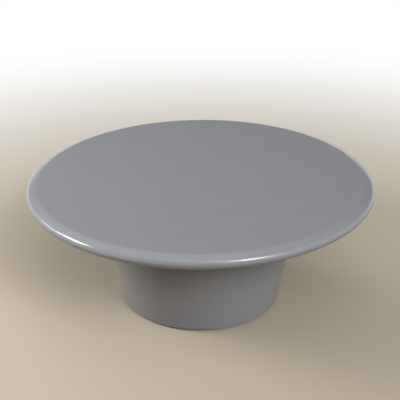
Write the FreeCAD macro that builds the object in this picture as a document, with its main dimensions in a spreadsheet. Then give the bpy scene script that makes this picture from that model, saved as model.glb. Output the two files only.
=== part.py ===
import FreeCAD, Part
import math
import os
import Sketcher

# Round cocktail table: a rolled-edge disc top on an upturned cone of bent plywood.
# Millimetres, +Z up, origin on the floor under the middle of the top.

doc = FreeCAD.newDocument("round_cocktail_table")

SIZES = [
    # Top
    ("table_height", 460),
    ("top_diameter", 1220),
    ("top_sheet", 22),
    ("shoulder_run", 36),
    ("nose_radius", 17),
    ("rim_segment_count", 8),
    ("plate_margin", 185),
    # Base
    ("base_top_diameter", 728),
    ("base_foot_diameter", 566),
    ("foot_gap", 8),
    ("base_edge_radius", 2.5),
    ("skin_layer", 5),
    ("skin_panel_count", 4),
    ("glue_line", 0.2),
    # Frame inside the base
    ("former_thickness", 18),
    ("upper_former_width", 150),
    ("mid_former_width", 84),
    ("lower_former_width", 90),
    ("rib_count", 8),
    ("rib_thickness", 18),
    ("rib_depth", 60),
    ("tab_length", 30),
    ("joint_clearance", 0.1),
    # Bolts, washers and flanged insert nuts
    ("bolt_count", 8),
    ("bolt_diameter", 8),
    ("bolt_end_gap", 4),
    ("bolt_flats", 13),
    ("bolt_head_height", 5.3),
    ("bolt_point", 1),
    ("bolt_hole_clearance", 0.5),
    ("washer_diameter", 22),
    ("washer_thickness", 2),
    ("insert_length", 13.5),
    ("insert_barrel_diameter", 11),
    ("insert_flange_diameter", 22),
    ("insert_flange_thickness", 1.5),
    ("thread_clearance", 0.1),
    # Levellers
    ("leveller_count", 4),
    ("stem_diameter", 8),
    ("stem_length", 36),
    ("stem_point", 1),
    ("collar_flats", 13),
    ("collar_height", 4),
    ("spigot_diameter", 10),
    ("spigot_height", 4.4),
    ("key_flats", 4),
    ("key_depth", 5),
    ("pad_diameter", 36),
    ("pad_clearance", 1),
    ("pad_rim_height", 4),
    ("pad_crown_diameter", 22),
    ("pad_edge_radius", 1),
    ("recess_clearance", 2),
    ("running_clearance", 0.1),
]

sheet = doc.addObject("Spreadsheet::Sheet", "dims")
for row, (alias, number) in enumerate(SIZES, start=1):
    sheet.set(f"A{row}", alias)
    sheet.set(f"B{row}", str(number))
    sheet.setAlias(f"B{row}", alias)
doc.recompute()

FULL_TURN = "360"


def number_of(expression):
    return float(sheet.evalExpression(expression))


def count_of(alias):
    return int(round(sheet.get(alias)))


# Levels and radii that several pieces share, as expressions on the sheet

TOP_RADIUS = "dims.top_diameter / 2"
NOSE_LIMIT = 0.8
NOSE_RADIUS = f"min(dims.nose_radius; {NOSE_LIMIT} * dims.top_sheet; {NOSE_LIMIT} * dims.shoulder_run)"
PLATE_RADIUS = f"({TOP_RADIUS} - dims.plate_margin)"
TOP_LEVEL = "dims.table_height"
NOSE_LEVEL = "(dims.table_height - dims.top_sheet)"
UNDERSIDE = "(dims.table_height - 2 * dims.top_sheet)"
FOOT_LEVEL = "dims.foot_gap"
FLARE = (f"((dims.base_top_diameter - dims.base_foot_diameter) / 2"
         f" / ({UNDERSIDE} - {FOOT_LEVEL}))")
SKIN_SPAN = f"(dims.skin_layer * sqrt(1 + {FLARE} ^ 2))"

LOWER_FORMER_TOP = f"({FOOT_LEVEL} + dims.former_thickness)"
UPPER_FORMER_BASE = f"({UNDERSIDE} - dims.former_thickness)"
MID_FORMER_BASE = f"(({LOWER_FORMER_TOP} + {UPPER_FORMER_BASE} - dims.former_thickness) / 2)"
MID_FORMER_TOP = f"({MID_FORMER_BASE} + dims.former_thickness)"


def outer_radius(level):
    """Radius of the lacquered cone at a level."""
    return f"(dims.base_foot_diameter / 2 + {FLARE} * ({level} - {FOOT_LEVEL}))"


def layer_radius(level):
    """Radius of the glue line between the two skins, on the inner skin."""
    return f"({outer_radius(level)} - {SKIN_SPAN} - dims.glue_line)"


def frame_radius(level):
    """Radius of the formers and ribs at a level, one glue line inside the inner skin."""
    return f"({layer_radius(level)} - {SKIN_SPAN} - dims.glue_line)"


RIB_SETBACK = "dims.rib_depth / 2"
UPPER_TAB = f"({frame_radius(UPPER_FORMER_BASE)} - {RIB_SETBACK})"
LOWER_TAB = f"({frame_radius(LOWER_FORMER_TOP)} - {RIB_SETBACK})"
LAP_RADIUS = f"({frame_radius(MID_FORMER_BASE)} - {RIB_SETBACK})"

UPPER_FORMER_HOLE = f"({frame_radius(UPPER_FORMER_BASE)} - dims.upper_former_width)"
BOLT_RADIUS = f"({UPPER_FORMER_HOLE} + dims.upper_former_width / 2)"
LEVELLER_RADIUS = f"({frame_radius(FOOT_LEVEL)} - dims.lower_former_width / 2)"

PAD_HEIGHT = f"({FOOT_LEVEL} - dims.pad_clearance)"
COLLAR_BASE = f"({PAD_HEIGHT} + dims.running_clearance)"
COLLAR_TOP = f"({COLLAR_BASE} + dims.collar_height)"
LEVELLER_INSERT_BASE = f"({COLLAR_TOP} + dims.running_clearance)"
LEVELLER_RECESS_TOP = f"({LEVELLER_INSERT_BASE} + dims.insert_flange_thickness)"

RIB_HALF_STEP = "180 / dims.rib_count"


# Sketches and features

def new_body(label, turn=None):
    """A body of its own, turned about the table's axis by an expression in degrees."""
    body = doc.addObject("PartDesign::Body", label)
    body.Label = label
    if turn:
        body.setExpression("Placement.Rotation.Angle", turn)
    return body


def origin_item(body, role):
    return next(item for item in body.Origin.OriginFeatures if item.Role == role)


def new_sketch(body, name, plane, lift=None, turn=None):
    """A sketch on one of the body's own planes, raised or turned by an expression."""
    sketch = body.newObject("Sketcher::SketchObject", f"{body.Label}_{name}")
    sketch.AttachmentSupport = [(origin_item(body, plane), "")]
    sketch.MapMode = "FlatFace"
    if lift:
        sketch.setExpression("AttachmentOffset.Base.z", lift)
    if turn:
        sketch.setExpression("AttachmentOffset.Rotation.Angle", turn)
    return sketch


def bind(sketch, kind, *where, to):
    """Add one driving constraint and bind its value to an expression."""
    index = sketch.addConstraint(Sketcher.Constraint(kind, *where, number_of(to)))
    sketch.setExpression(f"Constraints[{index}]", to)


def pin_point(sketch, edge, end, across, up):
    """Hold a point at a place measured from the sketch's origin."""
    bind(sketch, "DistanceX", -1, 1, edge, end, to=across)
    bind(sketch, "DistanceY", -1, 1, edge, end, to=up)


def point_at(across, up):
    return FreeCAD.Vector(number_of(across), number_of(up), 0)


def convex_arc(start, end, radius):
    """Arc from start to end that bulges away from the inside of an anticlockwise outline."""
    chord = end - start
    inward = FreeCAD.Vector(-chord.y, chord.x, 0).normalize()
    rise = math.sqrt(max(radius ** 2 - (chord.Length / 2) ** 2, 0))
    centre = (start + end) / 2 + inward * rise
    first = math.atan2(start.y - centre.y, start.x - centre.x)
    last = math.atan2(end.y - centre.y, end.x - centre.x)
    if last < first:
        last += 2 * math.pi
    return Part.ArcOfCircle(Part.Circle(centre, FreeCAD.Vector(0, 0, 1), radius), first, last)


def draw_outline(sketch, corners, rounds=None):
    """Closed anticlockwise outline: corners are pairs of expressions, rounds makes an edge an arc."""
    rounds = rounds or {}
    places = [point_at(across, up) for across, up in corners]
    for index, start in enumerate(places):
        end = places[(index + 1) % len(places)]
        if index in rounds:
            sketch.addGeometry(convex_arc(start, end, number_of(rounds[index])))
        else:
            sketch.addGeometry(Part.LineSegment(start, end))
    for index, (across, up) in enumerate(corners):
        following = (index + 1) % len(corners)
        sketch.addConstraint(Sketcher.Constraint("Coincident", index, 2, following, 1))
        pin_point(sketch, index, 1, across, up)
    for index, radius in rounds.items():
        bind(sketch, "Radius", index, to=radius)


def draw_axis(sketch, across):
    """Upright construction line that a piece off the table's axis is turned about."""
    foot = point_at(across, "0")
    head = point_at(across, TOP_LEVEL)
    line = sketch.addGeometry(Part.LineSegment(foot, head), True)
    pin_point(sketch, line, 1, across, "0")
    pin_point(sketch, line, 2, across, TOP_LEVEL)


def hexagon(centre, flats):
    """Corners of a hexagon on the sketch's X axis, given its width across flats."""
    reach = f"{flats} / sqrt(3)"
    return [(f"{centre} + {reach} * cos({step * 60} deg)", f"{reach} * sin({step * 60} deg)")
            for step in range(6)]


def rectangle(left, right, bottom, top):
    return [(left, bottom), (right, bottom), (right, top), (left, top)]


def revolve(body, sketch, axis, angle=FULL_TURN, cut=False):
    """Turned solid, or turned cut, about the table's axis or the sketch's own line."""
    kind = "Groove" if cut else "Revolution"
    feature = body.newObject(f"PartDesign::{kind}", f"{sketch.Name}_turned")
    feature.Profile = sketch
    feature.ReferenceAxis = (sketch, [axis])
    feature.setExpression("Angle", angle)
    body.Tip = feature
    return feature


def turned_section(body, name, corners, rounds=None, angle=FULL_TURN):
    """Solid turned about the table's axis from a section drawn in the XZ plane."""
    sketch = new_sketch(body, name, "XZ_Plane")
    draw_outline(sketch, corners, rounds)
    return revolve(body, sketch, "V_Axis", angle)


def turned_off_axis(body, name, across, corners, cut=False):
    """Solid or hole turned about an upright line at a distance from the table's axis."""
    sketch = new_sketch(body, name, "XZ_Plane")
    draw_outline(sketch, [(f"{across} + {out}", up) for out, up in corners])
    draw_axis(sketch, across)
    return revolve(body, sketch, "Axis0", cut=cut)


def pad(body, sketch, length, midplane=False):
    feature = body.newObject("PartDesign::Pad", f"{sketch.Name}_pad")
    feature.Profile = sketch
    feature.setExpression("Length", length)
    feature.Midplane = midplane
    body.Tip = feature
    return feature


def pocket_down(body, sketch, depth):
    """Cut that sinks from the sketch's level towards the floor."""
    feature = body.newObject("PartDesign::Pocket", f"{sketch.Name}_pocket")
    feature.Profile = sketch
    feature.setExpression("Length", depth)
    feature.Reversed = False
    body.Tip = feature
    return feature


def round_pattern(body, features, count):
    """Repeat features evenly about the table's axis."""
    pattern = body.newObject("PartDesign::PolarPattern", f"{features[0].Name}_pattern")
    pattern.Originals = features
    pattern.Axis = (origin_item(body, "Z_Axis"), [""])
    pattern.setExpression("Angle", FULL_TURN)
    pattern.setExpression("Occurrences", count)
    body.Tip = pattern
    return pattern


def round_edges(body, radius, chosen):
    """Round the edges of the tip whose every point passes a test of radius and level."""
    doc.recompute()
    base = body.Tip
    names = [f"Edge{number}" for number, edge in enumerate(base.Shape.Edges, start=1)
             if all(chosen(math.hypot(spot.x, spot.y), spot.z) for spot in edge.discretize(5))]
    feature = body.newObject("PartDesign::Fillet", f"{body.Label}_rounding")
    feature.Base = (base, names)
    feature.setExpression("Radius", radius)
    body.Tip = feature
    return feature


def same(first, second):
    return abs(first - second) < 1e-3


# Top

def make_top_panel():
    """Disc whose edge rolls over: flat top, long shoulder arc, tight nose arc, flat underside."""
    body = new_body("top_panel")
    section = new_sketch(body, "section", "XZ_Plane")
    flat_end = f"({TOP_RADIUS} - dims.shoulder_run)"
    nose_centre = f"({TOP_RADIUS} - {NOSE_RADIUS})"
    axis_foot = point_at("0", NOSE_LEVEL)
    nose_end = point_at(TOP_RADIUS, NOSE_LEVEL)
    shoulder_end = point_at(flat_end, TOP_LEVEL)
    axis_head = point_at("0", TOP_LEVEL)
    nose_span = number_of(NOSE_RADIUS)
    run = number_of("dims.shoulder_run")
    drop = number_of("dims.top_sheet")
    shoulder_span = ((run - nose_span) ** 2 + drop ** 2 - nose_span ** 2) / (2 * (drop - nose_span))
    tilt = math.asin((run - nose_span) / (shoulder_span - nose_span))
    upward = FreeCAD.Vector(0, 0, 1)
    nose_circle = Part.Circle(point_at(nose_centre, NOSE_LEVEL), upward, nose_span)
    shoulder_circle = Part.Circle(shoulder_end - FreeCAD.Vector(0, shoulder_span, 0), upward, shoulder_span)
    underside = section.addGeometry(Part.LineSegment(axis_foot, nose_end))
    nose = section.addGeometry(Part.ArcOfCircle(nose_circle, 0, math.pi / 2 - tilt))
    shoulder = section.addGeometry(Part.ArcOfCircle(shoulder_circle, math.pi / 2 - tilt, math.pi / 2))
    flat = section.addGeometry(Part.LineSegment(shoulder_end, axis_head))
    axis = section.addGeometry(Part.LineSegment(axis_head, axis_foot))
    section.addConstraint([
        Sketcher.Constraint("Coincident", underside, 2, nose, 1),
        Sketcher.Constraint("Tangent", nose, 2, shoulder, 1),
        Sketcher.Constraint("Tangent", shoulder, 2, flat, 1),
        Sketcher.Constraint("Coincident", flat, 2, axis, 1),
        Sketcher.Constraint("Coincident", axis, 2, underside, 1),
        Sketcher.Constraint("Horizontal", nose, 3, nose, 1),
    ])
    pin_point(section, underside, 1, "0", NOSE_LEVEL)
    pin_point(section, nose, 1, TOP_RADIUS, NOSE_LEVEL)
    pin_point(section, flat, 1, flat_end, TOP_LEVEL)
    pin_point(section, axis, 1, "0", TOP_LEVEL)
    bind(section, "Radius", nose, to=NOSE_RADIUS)
    revolve(body, section, "V_Axis")
    return body


def make_rim_segment(number):
    """Arc of the lower layer: it meets the plate inside, and its edge is a full quarter round below."""
    body = new_body(f"rim_segment_{number}", f"{number - 1} * 360 / dims.rim_segment_count")
    inner = f"({PLATE_RADIUS} + dims.joint_clearance)"
    corners = [(inner, UNDERSIDE), (f"({TOP_RADIUS} - dims.top_sheet)", UNDERSIDE),
               (TOP_RADIUS, NOSE_LEVEL), (inner, NOSE_LEVEL)]
    turned_section(body, "section", corners, {1: "dims.top_sheet"}, "360 / dims.rim_segment_count")
    return body


def make_mounting_plate():
    """Disc in the middle of the lower layer, counterbored from above for the insert nuts."""
    body = new_body("mounting_plate")
    turned_section(body, "section", rectangle("0", PLATE_RADIUS, UNDERSIDE, NOSE_LEVEL))
    barrel = "(dims.insert_barrel_diameter / 2 + dims.joint_clearance)"
    flange = "(dims.insert_flange_diameter / 2 + dims.joint_clearance)"
    ledge = f"({NOSE_LEVEL} - dims.insert_flange_thickness)"
    stepped = [("0", UNDERSIDE), (barrel, UNDERSIDE), (barrel, ledge),
               (flange, ledge), (flange, NOSE_LEVEL), ("0", NOSE_LEVEL)]
    insert_hole = turned_off_axis(body, "insert_hole", BOLT_RADIUS, stepped, cut=True)
    round_pattern(body, [insert_hole], "dims.bolt_count")
    return body


# Fixings between the top and the base

def insert_section(thread, flange_level, barrel_sign):
    """Half-section of a flanged insert nut for a thread, its barrel pointing up (+) or down (-)."""
    bore = f"({thread} / 2 + dims.thread_clearance)"
    barrel = "dims.insert_barrel_diameter / 2"
    flange = "dims.insert_flange_diameter / 2"
    ledge = f"({flange_level} {barrel_sign} dims.insert_flange_thickness)"
    end = f"({flange_level} {barrel_sign} dims.insert_length)"
    corners = [(bore, flange_level), (flange, flange_level), (flange, ledge),
               (barrel, ledge), (barrel, end), (bore, end)]
    return corners if barrel_sign == "+" else corners[::-1]


def make_insert_nuts(label, thread, across, flange_level, barrel_sign, count):
    body = new_body(label)
    section = insert_section(thread, flange_level, barrel_sign)
    insert = turned_off_axis(body, "insert", across, section)
    round_pattern(body, [insert], count)
    return body


WASHER_BASE = f"({UPPER_FORMER_BASE} - dims.washer_thickness)"


def make_bolt_washers():
    body = new_body("bolt_washers")
    hole = "(dims.bolt_diameter / 2 + dims.thread_clearance)"
    section = rectangle(hole, "dims.washer_diameter / 2", WASHER_BASE, UPPER_FORMER_BASE)
    washer = turned_off_axis(body, "washer", BOLT_RADIUS, section)
    round_pattern(body, [washer], "dims.bolt_count")
    return body


def make_top_bolts():
    """Hex bolts pointing up, heads under the washers, stopping short of the top panel."""
    body = new_body("top_bolts")
    shank = "dims.bolt_diameter / 2"
    tip = f"({NOSE_LEVEL} - dims.bolt_end_gap)"
    section = [("0", WASHER_BASE), (shank, WASHER_BASE), (shank, f"({tip} - dims.bolt_point)"),
               (f"({shank} - dims.bolt_point)", tip), ("0", tip)]
    turned_shank = turned_off_axis(body, "shank", BOLT_RADIUS, section)
    head = new_sketch(body, "head", "XY_Plane", lift=f"{WASHER_BASE} - dims.bolt_head_height")
    draw_outline(head, hexagon(BOLT_RADIUS, "dims.bolt_flats"))
    hex_head = pad(body, head, "dims.bolt_head_height")
    round_pattern(body, [turned_shank, hex_head], "dims.bolt_count")
    return body


# Frame of the base

def former_section(inner, bottom, top):
    """Section of a ring whose outer edge is bevelled to lie along the inner skin."""
    return [(inner, bottom), (frame_radius(bottom), bottom), (frame_radius(top), top), (inner, top)]


def cut_tab_slots(body, tab_radius, level, depth):
    """Slots that the tabs of the ribs pass through, half a step round from the X axis."""
    slots = new_sketch(body, "tab_slot", "XY_Plane", lift=level, turn=RIB_HALF_STEP)
    reach = "(dims.tab_length / 2 + dims.joint_clearance)"
    half_width = "(dims.rib_thickness / 2 + dims.joint_clearance)"
    draw_outline(slots, rectangle(f"({tab_radius} - {reach})", f"({tab_radius} + {reach})",
                                  f"-{half_width}", half_width))
    slot = pocket_down(body, slots, depth)
    round_pattern(body, [slot], "dims.rib_count")


def make_upper_former():
    body = new_body("upper_former")
    turned_section(body, "section", former_section(UPPER_FORMER_HOLE, UPPER_FORMER_BASE, UNDERSIDE))
    cut_tab_slots(body, UPPER_TAB, UNDERSIDE, "dims.former_thickness")
    hole = "(dims.bolt_diameter / 2 + dims.bolt_hole_clearance)"
    bolt_hole = turned_off_axis(body, "bolt_hole", BOLT_RADIUS,
                                rectangle("0", hole, UPPER_FORMER_BASE, UNDERSIDE), cut=True)
    round_pattern(body, [bolt_hole], "dims.bolt_count")
    return body


def make_mid_former():
    """Ring with slots open to its edge, each half as deep as a rib, for the half-laps."""
    body = new_body("mid_former")
    inner = f"({frame_radius(MID_FORMER_BASE)} - dims.mid_former_width)"
    turned_section(body, "section", former_section(inner, MID_FORMER_BASE, MID_FORMER_TOP))
    slots = new_sketch(body, "lap_slot", "XY_Plane", lift=MID_FORMER_TOP, turn=RIB_HALF_STEP)
    half_width = "(dims.rib_thickness / 2 + dims.joint_clearance)"
    clear_of_edge = f"({frame_radius(MID_FORMER_TOP)} + dims.former_thickness)"
    draw_outline(slots, rectangle(LAP_RADIUS, clear_of_edge, f"-{half_width}", half_width))
    slot = pocket_down(body, slots, "dims.former_thickness")
    round_pattern(body, [slot], "dims.rib_count")
    return body


def make_lower_former():
    """Foot ring, recessed from below so that a leveller's collar sits up inside it."""
    body = new_body("lower_former")
    inner = f"({frame_radius(FOOT_LEVEL)} - dims.lower_former_width)"
    turned_section(body, "section", former_section(inner, FOOT_LEVEL, LOWER_FORMER_TOP))
    cut_tab_slots(body, LOWER_TAB, LOWER_FORMER_TOP, "dims.former_thickness")
    recess = "(dims.insert_flange_diameter / 2 + dims.recess_clearance)"
    barrel = "(dims.insert_barrel_diameter / 2 + dims.joint_clearance)"
    stepped = [("0", FOOT_LEVEL), (recess, FOOT_LEVEL), (recess, LEVELLER_RECESS_TOP),
               (barrel, LEVELLER_RECESS_TOP), (barrel, LOWER_FORMER_TOP), ("0", LOWER_FORMER_TOP)]
    seat = turned_off_axis(body, "leveller_seat", LEVELLER_RADIUS, stepped, cut=True)
    round_pattern(body, [seat], "dims.leveller_count")
    return body


def make_rib(number):
    """Upright plate that follows the cone, with end tabs and a half-lap notch on its inner edge."""
    body = new_body(f"rib_{number}", f"({number} - 0.5) * 360 / dims.rib_count")
    outline = new_sketch(body, "outline", "XZ_Plane")
    half_tab = "dims.tab_length / 2"

    def outer(level):
        return f"({frame_radius(level)} - dims.glue_line)"

    def inner(level):
        return f"({frame_radius(level)} - dims.rib_depth)"

    lap = f"({LAP_RADIUS} + dims.joint_clearance)"
    draw_outline(outline, [
        (f"{LOWER_TAB} - {half_tab}", FOOT_LEVEL),
        (f"{LOWER_TAB} + {half_tab}", FOOT_LEVEL),
        (f"{LOWER_TAB} + {half_tab}", LOWER_FORMER_TOP),
        (outer(LOWER_FORMER_TOP), LOWER_FORMER_TOP),
        (outer(UPPER_FORMER_BASE), UPPER_FORMER_BASE),
        (f"{UPPER_TAB} + {half_tab}", UPPER_FORMER_BASE),
        (f"{UPPER_TAB} + {half_tab}", UNDERSIDE),
        (f"{UPPER_TAB} - {half_tab}", UNDERSIDE),
        (f"{UPPER_TAB} - {half_tab}", UPPER_FORMER_BASE),
        (inner(UPPER_FORMER_BASE), UPPER_FORMER_BASE),
        (inner(MID_FORMER_TOP), MID_FORMER_TOP),
        (lap, MID_FORMER_TOP),
        (lap, MID_FORMER_BASE),
        (inner(MID_FORMER_BASE), MID_FORMER_BASE),
        (inner(LOWER_FORMER_TOP), LOWER_FORMER_TOP),
        (f"{LOWER_TAB} - {half_tab}", LOWER_FORMER_TOP),
    ])
    pad(body, outline, "dims.rib_thickness", midplane=True)
    return body


# Bent skins of the base

def skin_section(face_radius):
    """Section of one bent layer, given the radius of its outer face at a level."""
    return [(f"({face_radius(FOOT_LEVEL)} - {SKIN_SPAN})", FOOT_LEVEL), (face_radius(FOOT_LEVEL), FOOT_LEVEL),
            (face_radius(UNDERSIDE), UNDERSIDE), (f"({face_radius(UNDERSIDE)} - {SKIN_SPAN})", UNDERSIDE)]


def make_skin(label, number, face_radius, first_rib):
    """One bent panel, from rib to rib, starting half a rib step round or later."""
    turn = f"{first_rib} * 360 / dims.rib_count + {number - 1} * 360 / dims.skin_panel_count"
    body = new_body(f"{label}_{number}", turn)
    turned_section(body, "section", skin_section(face_radius), angle="360 / dims.skin_panel_count")
    return body


def make_inner_skin(number):
    return make_skin("inner_skin", number, layer_radius, 1.5)


def make_outer_skin(number):
    """Outer layer, its foot edge eased so that lacquer holds on it."""
    body = make_skin("outer_skin", number, outer_radius, 0.5)
    foot_radius = number_of(outer_radius(FOOT_LEVEL))
    foot_level = number_of(FOOT_LEVEL)
    round_edges(body, "min(dims.base_edge_radius; dims.skin_layer / 2)",
                lambda radius, level: same(radius, foot_radius) and same(level, foot_level))
    return body


# Levellers

def leveller_turn(number):
    return f"{number - 1} * 360 / dims.leveller_count"


def make_leveller_stem(number):
    """Threaded stem: round spigot in the pad, hex collar, shank, and a hex socket in its top end."""
    body = new_body(f"leveller_stem_{number}", leveller_turn(number))
    spigot = "dims.spigot_diameter / 2"
    shank = "dims.stem_diameter / 2"
    tip = f"({COLLAR_TOP} + dims.stem_length)"
    foot = f"({COLLAR_BASE} - dims.spigot_height)"
    section = [("0", foot), (spigot, foot), (spigot, COLLAR_BASE), (shank, COLLAR_BASE),
               (shank, f"({tip} - dims.stem_point)"),
               (f"({shank} - dims.stem_point)", tip), ("0", tip)]
    turned_off_axis(body, "shank", LEVELLER_RADIUS, section)
    collar = new_sketch(body, "collar", "XY_Plane", lift=COLLAR_BASE)
    draw_outline(collar, hexagon(LEVELLER_RADIUS, "dims.collar_flats"))
    pad(body, collar, "dims.collar_height")
    socket = new_sketch(body, "key_socket", "XY_Plane", lift=tip)
    draw_outline(socket, hexagon(LEVELLER_RADIUS, "dims.key_flats"))
    pocket_down(body, socket, "dims.key_depth")
    return body


def make_leveller_pad(number):
    """Round pad with a crowned top and a blind socket for the stem's spigot."""
    body = new_body(f"leveller_pad_{number}", leveller_turn(number))
    edge = "dims.pad_diameter / 2"
    crown = "dims.pad_crown_diameter / 2"
    socket = "(dims.spigot_diameter / 2 + dims.running_clearance)"
    socket_floor = f"({PAD_HEIGHT} - dims.spigot_height)"
    section = [("0", "0"), (f"({edge} - dims.pad_edge_radius)", "0"), (edge, "dims.pad_edge_radius"),
               (edge, "dims.pad_rim_height"), (crown, PAD_HEIGHT), (socket, PAD_HEIGHT),
               (socket, socket_floor), ("0", socket_floor)]
    turned_off_axis(body, "section", LEVELLER_RADIUS, section)
    return body


# All the pieces

def make_all():
    pieces = [make_top_panel(), make_mounting_plate()]
    pieces.append(make_insert_nuts("plate_insert_nuts", "dims.bolt_diameter", BOLT_RADIUS, NOSE_LEVEL, "-",
                                   "dims.bolt_count"))
    pieces += [make_bolt_washers(), make_top_bolts()]
    pieces += [make_upper_former(), make_mid_former(), make_lower_former()]
    pieces.append(make_insert_nuts("leveller_insert_nuts", "dims.stem_diameter", LEVELLER_RADIUS,
                                   LEVELLER_INSERT_BASE, "+", "dims.leveller_count"))
    repeated = [
        (make_rim_segment, "rim_segment_count"),
        (make_rib, "rib_count"),
        (make_inner_skin, "skin_panel_count"),
        (make_outer_skin, "skin_panel_count"),
        (make_leveller_stem, "leveller_count"),
        (make_leveller_pad, "leveller_count"),
    ]
    for make_piece, alias in repeated:
        pieces += [make_piece(number) for number in range(1, count_of(alias) + 1)]
    return pieces


def check_document(pieces):
    """Stop if any feature failed or any piece is empty, invalid or not a set of solids."""
    for item in doc.Objects:
        if "Invalid" in item.State or "Error" in item.State:
            raise RuntimeError(f"{item.Label} failed: {item.State}")
        if item.TypeId == "Sketcher::SketchObject" and not item.FullyConstrained:
            raise RuntimeError(f"{item.Label} is not fully constrained")
    for piece in pieces:
        if piece.Shape.isNull() or not piece.Shape.isValid() or not piece.Shape.Solids:
            raise RuntimeError(f"{piece.Label} has no valid solid")


def check_cuts():
    """Stop if a cut took nothing away from the feature before it."""
    for item in doc.Objects:
        if item.TypeId in ("PartDesign::Pocket", "PartDesign::Groove"):
            if item.Shape.Volume >= item.BaseFeature.Shape.Volume - 1:
                raise RuntimeError(f"{item.Label} cuts nothing")


pieces = make_all()
doc.recompute()
check_document(pieces)
check_cuts()

os.makedirs("parts", exist_ok=True)
for piece in pieces:
    piece.Shape.exportStep(f"parts/{piece.Label}.step")
    print(piece.Label, len(piece.Shape.Solids), "solids", round(piece.Shape.Volume / 1000), "cm3")
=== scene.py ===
# %% [markdown]
# Round cocktail table: a lesson in dressing a CAD part.
#
# The table is a thick disc with a rolled edge on an upturned cone, both sprayed in one grey gloss
# lacquer. The CAD part already has every sheet, rib, bolt and leveller in its right place, in metres,
# with +Z up and the origin on the floor. This script gives each of them its surface.
#
# The frame is loaded first. Its box is kept so that the finished pieces can be measured against it.
# Sizes of pieces are written in millimetres, as on a drawing, and MM turns them into Blender's metres.

# %% Load the frame
import math

import bpy
from mathutils import Matrix, Vector


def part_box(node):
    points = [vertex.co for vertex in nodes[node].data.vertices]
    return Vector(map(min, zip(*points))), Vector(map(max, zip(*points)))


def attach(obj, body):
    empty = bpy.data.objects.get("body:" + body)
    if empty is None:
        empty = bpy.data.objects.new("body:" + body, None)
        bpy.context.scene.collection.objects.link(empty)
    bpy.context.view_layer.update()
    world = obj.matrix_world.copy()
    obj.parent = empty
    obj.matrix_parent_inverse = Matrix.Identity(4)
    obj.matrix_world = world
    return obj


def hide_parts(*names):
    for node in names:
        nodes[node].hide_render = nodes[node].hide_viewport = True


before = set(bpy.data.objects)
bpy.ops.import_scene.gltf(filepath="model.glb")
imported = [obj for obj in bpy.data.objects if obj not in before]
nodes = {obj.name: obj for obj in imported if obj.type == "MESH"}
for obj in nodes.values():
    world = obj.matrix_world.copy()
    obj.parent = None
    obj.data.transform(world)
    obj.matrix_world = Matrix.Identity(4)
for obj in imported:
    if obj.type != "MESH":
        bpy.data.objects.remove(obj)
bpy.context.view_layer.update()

MM = 0.001


# %% [markdown]
# Colours and shader nodes.
#
# A colour is easiest to judge as the hex value that a screen shows, but the shader works with linear
# light, so one function converts every colour. One more small function adds a shader node: its settings
# are properties, and its inputs are numbers or the output of another node, which it links.

# %% Colour and node helpers
SRGB_KNEE, SRGB_SLOPE = 0.04045, 12.92  # up to the knee the sRGB curve is a straight line
SRGB_OFFSET, SRGB_POWER = 0.055, 2.4
MIX_A, MIX_B, MIX_RESULT = 6, 7, 2  # places of the colour sockets on a Mix node


def linear(hex_colour):
    """An sRGB hex colour as linear red, green, blue and full opacity."""
    channels = [int(hex_colour[start:start + 2], 16) / 255 for start in (1, 3, 5)]
    light = [channel / SRGB_SLOPE if channel <= SRGB_KNEE
             else ((channel + SRGB_OFFSET) / (1 + SRGB_OFFSET)) ** SRGB_POWER for channel in channels]
    return (*light, 1.0)


def add_node(tree, kind, inputs=None, **settings):
    """Add one node, set its properties, and fill or link its inputs."""
    node = tree.nodes.new(kind)
    for name, value in settings.items():
        setattr(node, name, value)
    for socket, value in (inputs or {}).items():
        if isinstance(value, bpy.types.NodeSocket):
            tree.links.new(value, node.inputs[socket])
        else:
            node.inputs[socket].default_value = value
    return node


def new_material(name):
    """A node material with its Principled shader; returns the material, its tree and the shader."""
    material = bpy.data.materials.new(name)
    material.use_nodes = True
    tree = material.node_tree
    return material, tree, tree.nodes["Principled BSDF"]


def per_metre(millimetres):
    """Texture scale at which one feature of a pattern is this many millimetres wide."""
    return 1 / (millimetres * MM)


print("mid grey 808080 is linear", round(linear("#808080")[0], 3))

# %% [markdown]
# Grey polyester lacquer, sprayed and polished.
#
# The real coat is a thick pigmented polyester that is sprayed on, sanded flat and buffed. The eye reads
# it from three things: an even cool grey, a clear gloss that mirrors lamps as bright streaks, and a very
# slight unevenness left by spraying and buffing. The grey could be one flat number, but then the large
# top looks like plastic sheet, so a slow cloud shifts it by a few levels and a finer one shifts the
# gloss. The orange peel of a real coat is 1 to 3 mm wide, finer than a pixel here, so it is drawn wider.

# %% Lacquer material
LACQUER_DEEP = "#838488"
LACQUER_PALE = "#87888C"
LACQUER_IOR = 1.55
SPRAY_CLOUD_MM, SPRAY_CLOUD_DETAIL = 160, 3.0
BUFF_HAZE_MM, BUFF_HAZE_DETAIL = 45, 4.0
BUFFED_ROUGHNESS = (0.07, 0.12)
ORANGE_PEEL_MM, ORANGE_PEEL_DETAIL = 9, 1.0
ORANGE_PEEL_DEPTH_MM = 0.012
NOISE_LOW, NOISE_HIGH = 0.3, 0.7  # most of a noise texture's values lie between these


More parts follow.
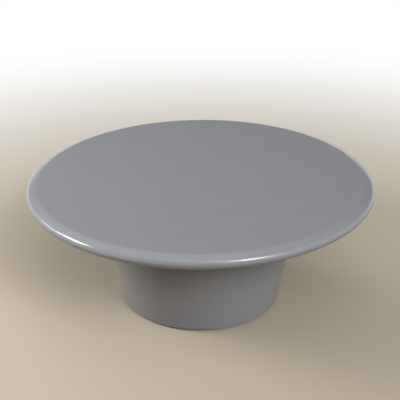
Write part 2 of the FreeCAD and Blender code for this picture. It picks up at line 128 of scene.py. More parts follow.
def make_lacquer(name):
    """Polished lacquer: pigment tone, buffed gloss and orange peel, all from the piece's own place."""
    material, tree, shader = new_material(name)
    place = add_node(tree, "ShaderNodeTexCoord").outputs["Object"]
    cloud = add_node(tree, "ShaderNodeTexNoise", {
        "Vector": place, "Scale": per_metre(SPRAY_CLOUD_MM), "Detail": SPRAY_CLOUD_DETAIL})
    tone = add_node(tree, "ShaderNodeMix", {
        "Factor": cloud.outputs["Fac"], MIX_A: linear(LACQUER_DEEP), MIX_B: linear(LACQUER_PALE)},
        data_type="RGBA")
    haze = add_node(tree, "ShaderNodeTexNoise", {
        "Vector": place, "Scale": per_metre(BUFF_HAZE_MM), "Detail": BUFF_HAZE_DETAIL})
    gloss = add_node(tree, "ShaderNodeMapRange", {
        "Value": haze.outputs["Fac"], "From Min": NOISE_LOW, "From Max": NOISE_HIGH,
        "To Min": BUFFED_ROUGHNESS[0], "To Max": BUFFED_ROUGHNESS[1]})
    peel = add_node(tree, "ShaderNodeTexNoise", {
        "Vector": place, "Scale": per_metre(ORANGE_PEEL_MM), "Detail": ORANGE_PEEL_DETAIL})
    relief = add_node(tree, "ShaderNodeBump", {
        "Height": peel.outputs["Fac"], "Strength": 1.0, "Distance": ORANGE_PEEL_DEPTH_MM * MM})
    tree.links.new(tone.outputs[MIX_RESULT], shader.inputs["Base Color"])
    tree.links.new(gloss.outputs["Result"], shader.inputs["Roughness"])
    tree.links.new(relief.outputs["Normal"], shader.inputs["Normal"])
    shader.inputs["IOR"].default_value = LACQUER_IOR
    return material


lacquer = make_lacquer("polished_grey_polyester_lacquer")
print("lacquer nodes:", len(lacquer.node_tree.nodes))

# %% [markdown]
# Turned pieces as stacks of rings.
#
# The top, the base, the pads and the threaded hardware are all round, so they are made like work on a
# lathe: a stack of rings with faces between neighbours. A Screw modifier would spin a profile as well,
# but with rings the radius may also change with the angle, which gives hexagons, grip flutes and screw
# threads from the same function.

# %% Ring mesh helpers
SMOOTH_BELOW = math.radians(32)  # edges that turn by more than this stay sharp


def ring(radius, level, steps):
    """One ring of points; the radius is a number or a function of the angle. Radius 0 is one point."""
    if radius == 0:
        return [(0.0, 0.0, level)]
    points = []
    for step in range(steps):
        angle = 2 * math.pi * step / steps
        reach = radius(angle) if callable(radius) else radius
        points.append((reach * math.cos(angle), reach * math.sin(angle), level))
    return points


def arc(centre, radius, first, last, count):
    """Points of a profile along an arc, angles in degrees, both ends included."""
    turns = [math.radians(first + (last - first) * step / count) for step in range(count + 1)]
    return [(centre[0] + radius * math.cos(turn), centre[1] + radius * math.sin(turn)) for turn in turns]


def band_faces(start_a, count_a, start_b, count_b):
    """Faces between two neighbouring rings, either of which may be a single point."""
    faces = []
    for step in range(max(count_a, count_b)):
        after = (step + 1) % max(count_a, count_b)
        if count_a == 1:
            faces.append((start_a, start_b + after, start_b + step))
        elif count_b == 1:
            faces.append((start_a + step, start_a + after, start_b))
        else:
            faces.append((start_a + step, start_a + after, start_b + after, start_b + step))
    return faces


def ring_piece(name, stacks, material, loop=False):
    """Closed mesh over one or more stacks of rings; a loop also joins each last ring to its first."""
    points, faces = [], []
    for rings in stacks:
        starts = []
        for points_of_ring in rings:
            starts.append(len(points))
            points.extend(points_of_ring)
        order = list(range(len(rings))) + ([0] if loop else [])
        for below, above in zip(order, order[1:]):
            faces += band_faces(starts[below], len(rings[below]), starts[above], len(rings[above]))
    mesh = bpy.data.meshes.new(name)
    mesh.from_pydata(points, [], faces)
    mesh.validate()
    mesh.shade_smooth()
    mesh.set_sharp_from_angle(angle=SMOOTH_BELOW)
    mesh.materials.append(material)
    piece = bpy.data.objects.new(name, mesh)
    bpy.context.scene.collection.objects.link(piece)
    print(name, len(mesh.vertices), "points", len(mesh.polygons), "faces")
    return piece


def turned(profile, steps):
    """Stack of rings from a profile of (radius, level) pairs in millimetres."""
    return [ring(radius * MM, level * MM, steps) for radius, level in profile]


def dress(piece, body, slot, *replaced):
    """Fix a finished piece to its body and hide the CAD nodes it stands for; slot is not used."""
    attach(piece, body)
    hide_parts(*replaced)


print("quarter round of 90 mm:", [tuple(map(round, point)) for point in arc((0, 0), 90, 0, 90, 3)])

# %% [markdown]
# The lacquered top.
#
# Under the lacquer the top is one disc with eight arcs glued below its edge, but filler and lacquer
# close every joint, so the eye sees one piece. Its edge is not a plain half round: a long shoulder eases
# down from the flat, a tighter nose turns it over, and a quarter round runs back under. The two upper
# arcs share a tangent, and that keeps the lamp streaks on the edge smooth. The shoulder's radius is
# worked out from that condition rather than typed in. In the CAD the shoulder leaves the flat level.
# Here it sets off at a slight slope, under 1 mm lower, for the fine line that shows where it begins.

# %% Top
SHOULDER_RUN = 36
SHOULDER_SLOPE = math.radians(8)  # at the flat
NOSE_RADIUS = 17
SUPPORT_STEP = 3  # a ring just inside the flat keeps its shading flat
JOINT_CLEARANCE = 0.1
LACQUER_STEPS = 256  # points round a lacquered piece
ROUND_STEPS = 14  # along the shoulder, and along the round under the nose
NOSE_STEPS = 12
FLAT_BANDS = 6


def node_size(node, corner, axis):
    """One coordinate of a CAD node's box in millimetres; corner 0 is low, 1 is high."""
    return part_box(node)[corner][axis] / MM


top_radius = node_size("top_panel", 1, 0)
top_level = node_size("top_panel", 1, 2)
glue_level = node_size("top_panel", 0, 2)
underside = node_size("rim_segment_1", 0, 2)
plate_edge = node_size("mounting_plate", 1, 0) + JOINT_CLEARANCE
sheet = top_level - glue_level
under_round = glue_level - underside

flat_radius = top_radius - SHOULDER_RUN
nose_reach = SHOULDER_RUN - NOSE_RADIUS
slope_sine, slope_cosine = math.sin(SHOULDER_SLOPE), math.cos(SHOULDER_SLOPE)
shoulder_radius = ((nose_reach ** 2 + sheet ** 2 - NOSE_RADIUS ** 2)
                   / (2 * (sheet * slope_cosine - nose_reach * slope_sine - NOSE_RADIUS)))
shoulder_centre = (flat_radius - shoulder_radius * slope_sine, top_level - shoulder_radius * slope_cosine)
shoulder_start = 90 - math.degrees(SHOULDER_SLOPE)
meeting_angle = math.degrees(math.atan2(glue_level - shoulder_centre[1],
                                        top_radius - NOSE_RADIUS - shoulder_centre[0]))

top_profile = [(0, glue_level), (plate_edge / 2, glue_level), (plate_edge, glue_level)]
top_profile += [(plate_edge, underside), ((plate_edge + top_radius) / 2, underside)]
top_profile += arc((top_radius - under_round, glue_level), under_round, -90, 0, ROUND_STEPS)
top_profile += arc((top_radius - NOSE_RADIUS, glue_level), NOSE_RADIUS, 0, meeting_angle, NOSE_STEPS)[1:]
top_profile += arc(shoulder_centre, shoulder_radius, meeting_angle, shoulder_start, ROUND_STEPS)[1:]
top_profile += [(flat_radius - SUPPORT_STEP, top_level)]
top_profile += [(flat_radius * band / FLAT_BANDS, top_level) for band in reversed(range(FLAT_BANDS))]

lacquered_top = ring_piece("lacquered_top", [turned(top_profile, LACQUER_STEPS)], lacquer)
rim_segments = sorted(name for name in nodes if name.startswith("rim_segment_"))
dress(lacquered_top, "table", "grey_lacquer", "top_panel", *rim_segments)
print("shoulder radius", round(shoulder_radius, 2), "meets the nose at", round(meeting_angle, 1), "degrees")

# %% [markdown]
# The lacquered base.
#
# The base is a drum of thin plywood bent in two layers, wider at the top than at the foot. Its four outer
# panels are filled and lacquered into one skin, so one closed shell stands for them, as thick as the real
# layer. The foot edge is eased by a small round, because lacquer runs thin on a sharp corner.

# %% Base
FOOT_RADIUS = 283
SKIN_LAYER = 5
FOOT_EASE = 2.5
FOOT_EASE_STEPS = 6
CONE_BANDS = 8

base_top = node_size("outer_skin_1", 1, 2)
base_foot = node_size("outer_skin_1", 0, 2)
base_radius = node_size("outer_skin_1", 1, 1)
flare = (base_radius - FOOT_RADIUS) / (base_top - base_foot)
lean = math.degrees(math.atan(flare))
skin_span = SKIN_LAYER * math.hypot(1, flare)
ease_run = FOOT_EASE / math.tan(math.radians((90 + lean) / 2))

base_profile = [(FOOT_RADIUS - skin_span, base_foot)]
base_profile += arc((FOOT_RADIUS - ease_run, base_foot + FOOT_EASE), FOOT_EASE, -90, -lean,
                    FOOT_EASE_STEPS)
cone_start = base_profile[-1]
for band in range(1, CONE_BANDS + 1):
    share = band / CONE_BANDS
    base_profile.append((cone_start[0] + (base_radius - cone_start[0]) * share,
                         cone_start[1] + (base_top - cone_start[1]) * share))
base_profile.append((base_radius - skin_span, base_top))

lacquered_base = ring_piece("lacquered_base", [turned(base_profile, LACQUER_STEPS)], lacquer, loop=True)
outer_skins = sorted(name for name in nodes if name.startswith("outer_skin_"))
dress(lacquered_base, "table", "grey_lacquer", *outer_skins)
print("base leans out by", round(lean, 1), "degrees")

# %% [markdown]
# Zinc-plated steel and moulded nylon.
#
# Bolts, washers, inserts and stems are turned or stamped steel with a thin bright zinc plating. It gives
# a pale, slightly cloudy metal, brighter where it was handled less, with a faint cool and warm shift from
# the passivating bath. The floor pads are moulded black nylon: a soft sheen broken by the fine spark
# texture of the mould, which is about 0.3 mm wide in life and is drawn a little coarser to show at all.

# %% Hardware materials
ZINC_COOL = "#C3C8CC"
ZINC_WARM = "#CFCBBE"
ZINC_BLOOM_MM = 7
ZINC_ROUGHNESS = (0.24, 0.42)
NYLON_BLACK = "#1A1A1C"
NYLON_WORN = "#2A2A2C"
NYLON_IOR = 1.53
NYLON_SCUFF_MM = 6
NYLON_ROUGHNESS = (0.42, 0.6)
SPARK_TEXTURE_MM = 0.6
SPARK_DEPTH_MM = 0.03
CLOUD_DETAIL = 4.0


def make_clouded(name, tone_a, tone_b, cloud_mm, roughness, relief_mm=None, relief_depth_mm=None):
    """Material whose tone and roughness drift together, with an optional fine relief."""
    material, tree, shader = new_material(name)
    place = add_node(tree, "ShaderNodeTexCoord").outputs["Object"]
    cloud = add_node(tree, "ShaderNodeTexNoise", {
        "Vector": place, "Scale": per_metre(cloud_mm), "Detail": CLOUD_DETAIL}).outputs["Fac"]
    tone = add_node(tree, "ShaderNodeMix", {
        "Factor": cloud, MIX_A: linear(tone_a), MIX_B: linear(tone_b)}, data_type="RGBA")
    gloss = add_node(tree, "ShaderNodeMapRange", {
        "Value": cloud, "From Min": NOISE_LOW, "From Max": NOISE_HIGH,
        "To Min": roughness[0], "To Max": roughness[1]})
    tree.links.new(tone.outputs[MIX_RESULT], shader.inputs["Base Color"])
    tree.links.new(gloss.outputs["Result"], shader.inputs["Roughness"])
    if relief_mm:
        texture = add_node(tree, "ShaderNodeTexNoise", {"Vector": place, "Scale": per_metre(relief_mm)})
        relief = add_node(tree, "ShaderNodeBump", {
            "Height": texture.outputs["Fac"], "Strength": 1.0, "Distance": relief_depth_mm * MM})
        tree.links.new(relief.outputs["Normal"], shader.inputs["Normal"])
    return material, shader


zinc, zinc_shader = make_clouded("bright_zinc_plated_steel", ZINC_COOL, ZINC_WARM, ZINC_BLOOM_MM,
                                 ZINC_ROUGHNESS)
zinc_shader.inputs["Metallic"].default_value = 1.0
nylon, nylon_shader = make_clouded("moulded_black_nylon", NYLON_BLACK, NYLON_WORN, NYLON_SCUFF_MM,
                                   NYLON_ROUGHNESS, SPARK_TEXTURE_MM, SPARK_DEPTH_MM)
nylon_shader.inputs["IOR"].default_value = NYLON_IOR
print("hardware materials:", zinc.name, nylon.name)

# %% [markdown]
# Screw threads and hexagons.
#
# A thread is a groove that climbs one pitch per turn, so on a stack of rings its depth depends on the
# level minus the angle's share of a turn. A hexagon is a ring whose radius grows towards each corner.
# Both could be cut with booleans, but as radius functions they stay clean and closed.

# %% Thread and hexagon shapes
COARSE_PITCH = 1.25
THREAD_DEPTH = 0.7
CREST_SHARE = 0.2  # share of a pitch that is flat at the crest, and again at the root
ROWS_PER_PITCH = 6
HARDWARE_STEPS = 36  # points round a stem, bolt or washer
FACE_SHARE = 0.47  # radius of a head's round bearing face over its width across the flats
CHAMFER_ANGLE = math.radians(30)


def thread_cut(angle, level):
    """Depth of a right-hand thread's groove in millimetres at an angle and a level."""
    phase = (level / COARSE_PITCH - angle / (2 * math.pi)) % 1
    slope = abs(2 * phase - 1)
    return THREAD_DEPTH * min(max((1 - slope - CREST_SHARE) / (1 - 2 * CREST_SHARE), 0), 1)


def threaded(radius, low, high, point):
    """Rings of a threaded length, run out at its low end and chamfered at its high end."""
    rows = math.ceil((high - low) / COARSE_PITCH * ROWS_PER_PITCH)
    stack = []
    for row in range(rows + 1):
        level = low + (high - low) * row / rows
        fade = min((level - low) / COARSE_PITCH, 1)
        limit = radius - max(level - (high - point), 0)
        stack.append(ring(lambda angle: min(radius - fade * thread_cut(angle, level), limit) * MM,
                          level * MM, HARDWARE_STEPS))
    return stack


def hexagon(flats, limit):
    """Radius function of a hexagon, cut back to a circle where its corners are chamfered."""
    def reach(angle):
        off_flat = (angle + math.pi / 6) % (math.pi / 3) - math.pi / 6
        return min(flats / 2 / math.cos(off_flat), limit) * MM
    return reach


def hexagon_rings(flats, low, high):
    """Rings of a hexagonal head or collar with both faces chamfered."""
    face = flats * FACE_SHARE
    corner = flats / math.sqrt(3)
    chamfer = (corner - face) * math.tan(CHAMFER_ANGLE)
    levels = [(low, face), (low + chamfer, corner), (high - chamfer, corner), (high, face)]
    return [ring(hexagon(flats, limit), level * MM, HARDWARE_STEPS) for level, limit in levels]


def moved(stack, across):
    """A stack of rings shifted sideways by a vector in metres."""
    return [[(x + across[0], y + across[1], z) for x, y, z in points] for points in stack]


print("thread:", COARSE_PITCH, "mm pitch,", ROWS_PER_PITCH, "rings per turn")

# %% [markdown]
# Leveller stems.
#
# Each leveller is a steel stem on a nylon pad. The stem's spigot turns in the pad, its collar takes a
# spanner, its thread climbs into an insert in the foot ring, and a key fits the hexagon in its tip. All of
# it is one stack of rings from the foot to the tip and back down into the key's hole, so the mesh closes.

# %% Leveller stem
SPIGOT_RADIUS = 5
SPIGOT_HEIGHT = 4.4
SPIGOT_EASE = 0.4
COLLAR_FLATS = 13
COLLAR_HEIGHT = 4
STEM_RADIUS = 4
STEM_POINT = 1
KEY_FLATS = 4
KEY_DEPTH = 5

stem_foot = node_size("leveller_stem_1", 0, 2)
stem_tip = node_size("leveller_stem_1", 1, 2)
collar_base = stem_foot + SPIGOT_HEIGHT
collar_top = collar_base + COLLAR_HEIGHT

stem_rings = turned([(0, stem_foot), (SPIGOT_RADIUS - SPIGOT_EASE, stem_foot),
                     (SPIGOT_RADIUS, stem_foot + SPIGOT_EASE), (SPIGOT_RADIUS, collar_base)], HARDWARE_STEPS)
stem_rings += hexagon_rings(COLLAR_FLATS, collar_base, collar_top)
stem_rings += threaded(STEM_RADIUS, collar_top, stem_tip, STEM_POINT)
stem_rings += [ring(hexagon(KEY_FLATS, KEY_FLATS), level * MM, HARDWARE_STEPS)
               for level in (stem_tip, stem_tip - KEY_DEPTH)]
stem_rings += turned([(0, stem_tip - KEY_DEPTH)], HARDWARE_STEPS)
print("stem:", len(stem_rings), "rings from", round(stem_foot, 1), "to", round(stem_tip, 1), "mm up")

# %% [markdown]
# Leveller pads.
#
# A pad is one moulding: a hollowed foot that stands on a ring, a rim with shallow flutes for the fingers,
# a sloping top and a socket for the spigot. A mould has no sharp corners, so each corner is a short arc.
# Round the rim the arcs stop before they are upright, and the fluted rings take over from there.

# %% Leveller pad
PAD_RADIUS = 18
PAD_CROWN = 11
PAD_RIM = 4
PAD_HOLLOW = 9
PAD_HOLLOW_DEPTH = 0.6
PAD_EASE = 1
SOCKET_RADIUS = 5.1
SOCKET_EASE = 0.4
GRIP_FLUTES = 24
GRIP_DEPTH = 0.4
PAD_STEPS = 144  # six points to a flute
CORNER_STEPS = 3
CROWN_STEPS = 2
FLUTES_AT = 20  # degrees from level at which a corner meets the flutes
SLOPE_AT_RIM, SLOPE_AT_CROWN = 75, 60  # degrees at which the rim's and the crown's arc meet the slope

pad_top = node_size("leveller_pad_1", 1, 2)
socket_floor = pad_top - SPIGOT_HEIGHT


def fluted(angle):
    """Radius of the pad's rim, scalloped so that fingers can hold it still."""
    return (PAD_RADIUS - GRIP_DEPTH * (0.5 - 0.5 * math.cos(GRIP_FLUTES * angle)) ** 2) * MM


corner_radius = PAD_RADIUS - GRIP_DEPTH - PAD_EASE
foot_arc = arc((corner_radius, PAD_EASE), PAD_EASE, -90, -FLUTES_AT, CORNER_STEPS)
rim_arc = arc((corner_radius, PAD_RIM - PAD_EASE), PAD_EASE, FLUTES_AT, SLOPE_AT_RIM, CORNER_STEPS)
crown_arc = arc((PAD_CROWN - PAD_EASE, pad_top - PAD_EASE), PAD_EASE, SLOPE_AT_CROWN, 90, CROWN_STEPS)
pad_rings = turned([(0, PAD_HOLLOW_DEPTH), (PAD_HOLLOW, PAD_HOLLOW_DEPTH),
                    (PAD_HOLLOW + PAD_HOLLOW_DEPTH, 0)] + foot_arc, PAD_STEPS)
pad_rings += [ring(fluted, level * MM, PAD_STEPS) for level in (PAD_EASE, PAD_RIM - PAD_EASE)]
pad_rings += turned(rim_arc + crown_arc + [(SOCKET_RADIUS + SOCKET_EASE, pad_top),
                    (SOCKET_RADIUS, pad_top - SOCKET_EASE), (SOCKET_RADIUS, socket_floor),
                    (0, socket_floor)], PAD_STEPS)
print("pad:", len(pad_rings), "rings,", round(pad_top, 1), "mm high")

# %% [markdown]
# Four levellers.
#
# One mesh is made for the stems and one for the pads, and the four copies share it, each placed on its
# own axis. A pad rides on its foot and a stem on its stem body, so each follows its own joint.

# %% Place the levellers
LEVELLER_COUNT = 4


def leveller_axis(number):
    """Where a leveller's upright axis stands, in metres."""
    low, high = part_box(f"leveller_pad_{number}")
    return Vector(((low.x + high.x) / 2, (low.y + high.y) / 2, 0))


first_stem = ring_piece("threaded_stem_1", [stem_rings], zinc)
first_pad = ring_piece("moulded_pad_1", [pad_rings], nylon)
for number in range(1, LEVELLER_COUNT + 1):
    stem = first_stem if number == 1 else bpy.data.objects.new(f"threaded_stem_{number}", first_stem.data)
    pad = first_pad if number == 1 else bpy.data.objects.new(f"moulded_pad_{number}", first_pad.data)
    for piece in (stem, pad):
        piece.location = leveller_axis(number)
        if number > 1:
            bpy.context.scene.collection.objects.link(piece)
    dress(stem, f"stem_{number}", "zinc_plated_steel", f"leveller_stem_{number}")
    dress(pad, f"foot_{number}", "black_nylon", f"leveller_pad_{number}")
    print("leveller", number, "stands at", [round(part, 4) for part in leveller_axis(number)])

# %% [markdown]
# Bolts and washers under the top.
#
# Eight hex bolts hold the base to the plate under the top. They are identical, so they are eight closed
# shells in one piece, and so are their washers, which have one rolled edge from the stamping tool. The
# CAD bolt is a plain shank; here it gets its thread and the chamfers of its head.

# %% Bolts and washers
BOLT_COUNT = 8
BOLT_RADIUS = 4
BOLT_FLATS = 13
BOLT_HEAD = 5.3
BOLT_POINT = 1
PLAIN_SHANK = 12
WASHER_RADIUS = 11
WASHER_HOLE = 4.1
WASHER_ROLL = 0.7
WASHER_ROLL_STEPS = 5

washer_low = node_size("bolt_washers", 0, 2)
washer_high = node_size("bolt_washers", 1, 2)
bolt_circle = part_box("bolt_washers")[1].x - WASHER_RADIUS * MM
bolt_low = node_size("top_bolts", 0, 2)
bolt_tip = node_size("top_bolts", 1, 2)

bolt_rings = turned([(0, bolt_low)], HARDWARE_STEPS)
bolt_rings += hexagon_rings(BOLT_FLATS, bolt_low, bolt_low + BOLT_HEAD)
bolt_rings += turned([(BOLT_RADIUS, bolt_low + BOLT_HEAD)], HARDWARE_STEPS)
bolt_rings += threaded(BOLT_RADIUS, bolt_low + BOLT_HEAD + PLAIN_SHANK, bolt_tip, BOLT_POINT)
bolt_rings += turned([(0, bolt_tip)], HARDWARE_STEPS)
rolled_edge = arc((WASHER_RADIUS - WASHER_ROLL, washer_low + WASHER_ROLL), WASHER_ROLL, -90, 0,
                  WASHER_ROLL_STEPS)
washer_rings = turned([(WASHER_HOLE, washer_low)] + rolled_edge
                      + [(WASHER_RADIUS, washer_high), (WASHER_HOLE, washer_high)], HARDWARE_STEPS)

bolt_places = []
for step in range(BOLT_COUNT):
    turn = 2 * math.pi * step / BOLT_COUNT
    bolt_places.append((bolt_circle * math.cos(turn), bolt_circle * math.sin(turn)))
bolts = ring_piece("threaded_bolts", [moved(bolt_rings, place) for place in bolt_places], zinc)
washers = ring_piece("stamped_washers", [moved(washer_rings, place) for place in bolt_places], zinc,
                     loop=True)
dress(bolts, "table", "zinc_plated_steel", "top_bolts")
dress(washers, "table", "zinc_plated_steel", "bolt_washers")

# %% [markdown]
# Birch plywood, sawn and sanded.
#
# The frame inside the base is birch plywood: pale rotary-cut face veneers, and edges that show the plies
# as thin bands, light where the grain runs along the cut and darker where it is cut across. A picture of
# plywood would need unwrapping for every piece. Here the bands come from the distance to the middle of
# the sheet, flat or bent, so they show on sawn edges only, wherever a slot or hole cuts through. The grain
# is noise that is stretched along the grain's direction. The plate under the top reaches further out than
# the base, and that margin was sprayed with the top, so there the wood gives way to the lacquer's grey.

# %% Plywood material
PLY_MM = 1.43
FACE_PALE = "#E2CDA6"
FACE_GRAIN = "#D3B688"
CROSS_PLY = "#B08D5E"
GRAIN_WIDTH_MM = 5
GRAIN_LENGTH_MM = 170
GRAIN_DETAIL = 5.0
GRAIN_WANDER = 0.6
BAND_EDGE = 0.35  # softness of a ply's edge, on a wave from -1 to 1
SANDED_ROUGHNESS = (0.5, 0.66)
GRAIN_DEPTH_MM = 0.08
ALONG_X = Vector((GRAIN_LENGTH_MM, GRAIN_WIDTH_MM, GRAIN_WIDTH_MM))
ALONG_Z = Vector((GRAIN_WIDTH_MM, GRAIN_WIDTH_MM, GRAIN_LENGTH_MM))


def from_axis(tree, place):
    """Distance of a place from the table's upright axis."""
    level_place = add_node(tree, "ShaderNodeVectorMath", {0: place, 1: (1, 1, 0)}, operation="MULTIPLY")
    return add_node(tree, "ShaderNodeVectorMath", {0: level_place.outputs[0]},
                    operation="LENGTH").outputs["Value"]


def through_flat(middle, across):
    """How far a place lies from the middle of a flat sheet, as a function that adds the nodes for it."""
    def depth(tree, place):
        offset = add_node(tree, "ShaderNodeVectorMath", {0: place, 1: middle}, operation="SUBTRACT")
        return add_node(tree, "ShaderNodeVectorMath", {0: offset.outputs[0], 1: across},
                        operation="DOT_PRODUCT").outputs["Value"]
    return depth


def through_cone(floor_radius, slope):
    """The same for a sheet bent to a cone, from its radius at floor level and its slope."""
    def depth(tree, place):
        rise = add_node(tree, "ShaderNodeVectorMath", {0: place, 1: (0, 0, slope)}, operation="DOT_PRODUCT")
        surface = add_node(tree, "ShaderNodeMath", {0: rise.outputs["Value"], 1: floor_radius},
                           operation="ADD")
        return add_node(tree, "ShaderNodeMath", {0: from_axis(tree, place), 1: surface.outputs[0]},
                        operation="SUBTRACT").outputs[0]
    return depth


def make_plywood(name, depth, grain, sprayed_from=None):
    """Plywood with plies stacked through its depth, and lacquer on it beyond an optional radius."""
    material, tree, shader = new_material(name)
    place = add_node(tree, "ShaderNodeTexCoord").outputs["Object"]
    plies = add_node(tree, "ShaderNodeMath", {
        0: depth(tree, place), 1: math.pi / (PLY_MM * MM)}, operation="MULTIPLY")
    wave = add_node(tree, "ShaderNodeMath", {0: plies.outputs[0]}, operation="COSINE")
    band = add_node(tree, "ShaderNodeMapRange", {
        "Value": wave.outputs[0], "From Min": -BAND_EDGE, "From Max": BAND_EDGE,
        "To Min": 1.0, "To Max": 0.0})
    stretch = add_node(tree, "ShaderNodeVectorMath", {
        0: place, 1: [per_metre(width) for width in grain]}, operation="MULTIPLY")
    fibres = add_node(tree, "ShaderNodeTexNoise", {
        "Vector": stretch.outputs[0], "Scale": 1.0, "Detail": GRAIN_DETAIL,
        "Distortion": GRAIN_WANDER}).outputs["Fac"]
    face = add_node(tree, "ShaderNodeMix", {
        "Factor": fibres, MIX_A: linear(FACE_PALE), MIX_B: linear(FACE_GRAIN)}, data_type="RGBA")
    wood = add_node(tree, "ShaderNodeMix", {
        "Factor": band.outputs["Result"], MIX_A: face.outputs[MIX_RESULT], MIX_B: linear(CROSS_PLY)},
        data_type="RGBA")
    sanding = add_node(tree, "ShaderNodeMapRange", {
        "Value": fibres, "To Min": SANDED_ROUGHNESS[0], "To Max": SANDED_ROUGHNESS[1]})
    relief = add_node(tree, "ShaderNodeBump", {
        "Height": fibres, "Strength": 1.0, "Distance": GRAIN_DEPTH_MM * MM})
    colour, roughness = wood.outputs[MIX_RESULT], sanding.outputs["Result"]
    if sprayed_from:
        sprayed = add_node(tree, "ShaderNodeMath", {
            0: from_axis(tree, place), 1: sprayed_from * MM}, operation="GREATER_THAN").outputs[0]
        colour = add_node(tree, "ShaderNodeMix", {
            "Factor": sprayed, MIX_A: colour, MIX_B: linear(LACQUER_PALE)},
            data_type="RGBA").outputs[MIX_RESULT]
        roughness = add_node(tree, "ShaderNodeMix", {
            "Factor": sprayed, "A": roughness, "B": BUFFED_ROUGHNESS[1]}, data_type="FLOAT").outputs["Result"]
    tree.links.new(colour, shader.inputs["Base Color"])
    tree.links.new(roughness, shader.inputs["Roughness"])
    tree.links.new(relief.outputs["Normal"], shader.inputs["Normal"])
    return material


print("one ply:", PLY_MM, "mm")

# %% [markdown]
# Plywood on the frame.
#
# The CAD shapes of the frame are right as they are, so they only get a material through their slots. Each
# flat sheet needs its own copy, because its plies are counted from its own middle. The inner skins share
# one, because all are bent to one cone. The insert nuts also keep their shape and get the zinc.

# %% Paint the frame
RIB_COUNT = 8
GLUE_LINE = 0.2
UP = Vector((0, 0, 1))


def paint_node(name, material):
    """Give a CAD node, which keeps its shape, a better material through its slots."""
    for place in nodes[name].material_slots:
        place.material = material


for name in ("upper_former", "mid_former", "lower_former", "mounting_plate"):
    low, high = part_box(name)
    margin = base_radius - skin_span if name == "mounting_plate" else None
    through_sheet = through_flat((low + high) / 2, UP)
    paint_node(name, make_plywood(f"birch_plywood_{name}", through_sheet, ALONG_X, margin))

for number in range(1, RIB_COUNT + 1):
    turn = 2 * math.pi * (number - 0.5) / RIB_COUNT  # the ribs stand half-way between the bolts
    across = Vector((-math.sin(turn), math.cos(turn), 0))
    through_rib = through_flat(Vector(), across)
    paint_node(f"rib_{number}", make_plywood(f"birch_plywood_rib_{number}", through_rib, ALONG_Z))

inner_middle = FOOT_RADIUS - skin_span - GLUE_LINE - skin_span / 2 - flare * base_foot
bent_plywood = make_plywood("bent_birch_plywood", through_cone(inner_middle * MM, flare), ALONG_Z)
for name in sorted(nodes):
    if name.startswith("inner_skin_"):
        paint_node(name, bent_plywood)
    if name.endswith("insert_nuts"):
        paint_node(name, zinc)
print("plywood materials:", sum("plywood" in material.name for material in bpy.data.materials))

# %% [markdown]
# A plain pale floor.
#
# The table stands on a matt floor that takes its shadow and fades into a white backdrop. A white backdrop
# could be had by lighting it harder, but that light would spill on the table, so the far floor glows only
# where the camera or a mirror-like surface looks at it. A pale floor would also throw so much light back
# up that the foot of the base loses its shade, so the floor bounces less light than it shows, and warmer.

# %% Floor
FLOOR_SEEN = "#ADA38F"
FLOOR_BOUNCE = "#55421E"
BACKDROP_WHITE = "#FFFFFF"
FLOOR_SIZE = 60.0  # metres, as are the two distances of the fade
FLOOR_ROUGHNESS = 0.8
FADE_FROM = 0.9
FADE_TO = 3.2

half = FLOOR_SIZE / 2
corners = [(-half, -half, 0), (half, -half, 0), (half, half, 0), (-half, half, 0)]
floor_mesh = bpy.data.meshes.new("floor")
floor_mesh.from_pydata(corners, [], [(0, 1, 2, 3)])
floor = bpy.data.objects.new("floor", floor_mesh)
bpy.context.scene.collection.objects.link(floor)


def shown_rays(tree):
    """1 for rays by which the camera, a mirror or glass looks at a surface, 0 for rays that only light it."""
    path = add_node(tree, "ShaderNodeLightPath")
    mirrored = add_node(tree, "ShaderNodeMath", {
        0: path.outputs["Is Glossy Ray"], 1: path.outputs["Is Transmission Ray"]}, operation="MAXIMUM")
    return add_node(tree, "ShaderNodeMath", {
        0: path.outputs["Is Camera Ray"], 1: mirrored.outputs[0]}, operation="MAXIMUM").outputs[0]


floor_paint, paint, floor_shader = new_material("matt_painted_floor")
shown = shown_rays(paint)
floor_tone = add_node(paint, "ShaderNodeMix", {
    "Factor": shown, MIX_A: linear(FLOOR_BOUNCE), MIX_B: linear(FLOOR_SEEN)}, data_type="RGBA")
paint.links.new(floor_tone.outputs[MIX_RESULT], floor_shader.inputs["Base Color"])
floor_shader.inputs["Roughness"].default_value = FLOOR_ROUGHNESS
spot = add_node(paint, "ShaderNodeTexCoord").outputs["Object"]
distance = add_node(paint, "ShaderNodeVectorMath", {0: spot}, operation="LENGTH")
far = add_node(paint, "ShaderNodeMapRange", {
    "Value": distance.outputs["Value"], "From Min": FADE_FROM, "From Max": FADE_TO},
    interpolation_type="SMOOTHSTEP")
fade = add_node(paint, "ShaderNodeMath", {0: far.outputs["Result"], 1: shown}, operation="MULTIPLY")
white = add_node(paint, "ShaderNodeEmission", {"Color": linear(BACKDROP_WHITE), "Strength": 1.0})
blend = add_node(paint, "ShaderNodeMixShader", {
    0: fade.outputs[0], 1: floor_shader.outputs["BSDF"], 2: white.outputs["Emission"]})
paint.links.new(blend.outputs["Shader"], paint.nodes["Material Output"].inputs["Surface"])
floor_mesh.materials.append(floor_paint)
print("floor:", FLOOR_SIZE, "m across, white from", FADE_TO, "m out")

# %% [markdown]
# Soft light from the front right.
#
# Gloss shows only what it mirrors, so the light is made of soft round panels far away: a strong group to
# the front right, a low one at each side, and faint ones above and behind. Area lamps would do it too, but
# the world's own shader can hold every panel as one smooth glow, brightest where a direction meets the
# middle of the panel. The strong group draws the right-hand streak on the rolled edge, the faint one behind
# draws the line where the edge begins, and the dim room between them leaves the shaded patch on the base.
# Low down the world looks white to the camera and to mirrors, which carries on the floor's backdrop.

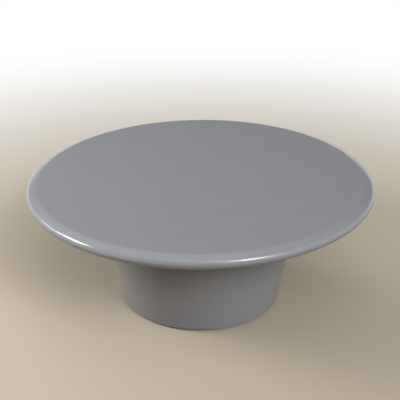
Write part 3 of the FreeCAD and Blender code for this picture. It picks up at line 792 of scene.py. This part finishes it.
# %% Light panels in the world
# Each panel: degrees round from the front towards the right, degrees up, half width in degrees, brightness.
LIGHT_PANELS = (
    (-110, 10, 7, 19.0),
    (-132, 40, 10, 0.6),
    (0, 65, 14, 1.8),
    (12, 40, 10, 0.9),
    (32, 34, 6.5, 24.5),
    (36, 50, 14, 1.5),
    (50, 28, 9, 2.4),
    (44, 6, 9, 1.5),
    (90, 34, 13, 0.8),
    (180, 60, 14, 0.6),
)
ROOM_GLOW = 0.005
HORIZON_WHITE = 0.19  # sine of the height to which the backdrop stays white
HORIZON_END = 0.32  # sine of the height at which it is gone

world = bpy.data.worlds.new("soft_studio")
world.use_nodes = True
bpy.context.scene.world = world
sky = world.node_tree
direction = add_node(sky, "ShaderNodeTexCoord").outputs["Generated"]


def panel_glow(round_from_front, up, spread, brightness):
    """Brightness of one panel in the direction that is looked at."""
    turn, rise, width = (math.radians(angle) for angle in (round_from_front, up, spread))
    middle = Vector((math.sin(turn) * math.cos(rise), -math.cos(turn) * math.cos(rise), math.sin(rise)))
    nearness = add_node(sky, "ShaderNodeVectorMath", {0: direction, 1: middle}, operation="DOT_PRODUCT")
    falloff = add_node(sky, "ShaderNodeMath", {
        0: nearness.outputs["Value"], 1: 1 / width ** 2, 2: -1 / width ** 2}, operation="MULTIPLY_ADD")
    glow = add_node(sky, "ShaderNodeMath", {0: falloff.outputs[0]}, operation="EXPONENT")
    return add_node(sky, "ShaderNodeMath", {
        0: glow.outputs[0], 1: brightness}, operation="MULTIPLY").outputs[0]


total = ROOM_GLOW
for panel in LIGHT_PANELS:
    total = add_node(sky, "ShaderNodeMath", {0: panel_glow(*panel), 1: total}, operation="ADD").outputs[0]
height = add_node(sky, "ShaderNodeSeparateXYZ", {0: direction}).outputs["Z"]
low_sky = add_node(sky, "ShaderNodeMapRange", {
    "Value": height, "From Min": HORIZON_WHITE, "From Max": HORIZON_END, "To Min": 1.0, "To Max": 0.0},
    interpolation_type="SMOOTHSTEP")
backdrop = add_node(sky, "ShaderNodeMath", {
    0: low_sky.outputs["Result"], 1: shown_rays(sky)}, operation="MULTIPLY").outputs[0]
strength = add_node(sky, "ShaderNodeMix", {
    "Factor": backdrop, "A": total, "B": 1.0}, data_type="FLOAT").outputs["Result"]
sky.nodes["Background"].inputs["Color"].default_value = linear(BACKDROP_WHITE)
sky.links.new(strength, sky.nodes["Background"].inputs["Strength"])
print("light panels:", len(LIGHT_PANELS))

# %% [markdown]
# A near lamp at the left.
#
# The left of the table is brighter than its right, and the light falls off across the top. A panel in the
# world is as far as the sky and can't do that, so the left light is an area lamp close by. Its brightness
# is on the panels' scale, and times its area and pi it makes the watts that Blender asks for.

# %% Left lamp
LAMP_PLACE = Vector((-2.60, -0.28, 1.85))  # metres, as are its aim and sides
LAMP_AIM = Vector((-0.42, -0.42, 0.44))
LAMP_WIDTH = 1.1
LAMP_HEIGHT = 0.95
LAMP_BRIGHTNESS = 16.8

lamp_data = bpy.data.lights.new("left_lamp", "AREA")
lamp_data.shape = "RECTANGLE"
lamp_data.size = LAMP_WIDTH
lamp_data.size_y = LAMP_HEIGHT
lamp_data.energy = LAMP_BRIGHTNESS * math.pi * LAMP_WIDTH * LAMP_HEIGHT
left_lamp = bpy.data.objects.new("left_lamp", lamp_data)
left_lamp.location = LAMP_PLACE
left_lamp.rotation_euler = (LAMP_AIM - LAMP_PLACE).to_track_quat("-Z", "Y").to_euler()
left_lamp.visible_camera = False
bpy.context.scene.collection.objects.link(left_lamp)
print("left lamp:", round(lamp_data.energy), "W")

# %% [markdown]
# Camera.
#
# The camera stands well back and looks down by about 25 degrees through a longish lens, so the round top
# is seen as a wide ellipse with little perspective. Its place and lens were worked out from the ellipse of
# the top, the ellipse of the foot and the line of the edge, all at the table's real size.

# %% Camera and view
LENS, SENSOR = 94.977, 36.0  # millimetres, as on a camera
CAMERA_PLACE = (0.0, -3.4082, 1.9621)  # metres
LOOK_DOWN, CAMERA_ROLL = 0.43636, -0.00843  # radians
SHIFT_ACROSS = -0.00163  # share of the picture's width

camera_data = bpy.data.cameras.new("camera")
camera_data.lens = LENS
camera_data.sensor_width = SENSOR
camera_data.shift_x = SHIFT_ACROSS
camera = bpy.data.objects.new("camera", camera_data)
camera.location = CAMERA_PLACE
tilt = Matrix.Rotation(math.pi / 2 - LOOK_DOWN, 3, "X")
roll = Matrix.Rotation(CAMERA_ROLL, 3, "Z")
camera.rotation_euler = (tilt @ roll).to_euler()
bpy.context.scene.collection.objects.link(camera)
bpy.context.scene.camera = camera
bpy.context.scene.view_settings.view_transform = "Standard"
print("camera:", round(math.hypot(*CAMERA_PLACE), 2), "m from the foot of the table's axis")
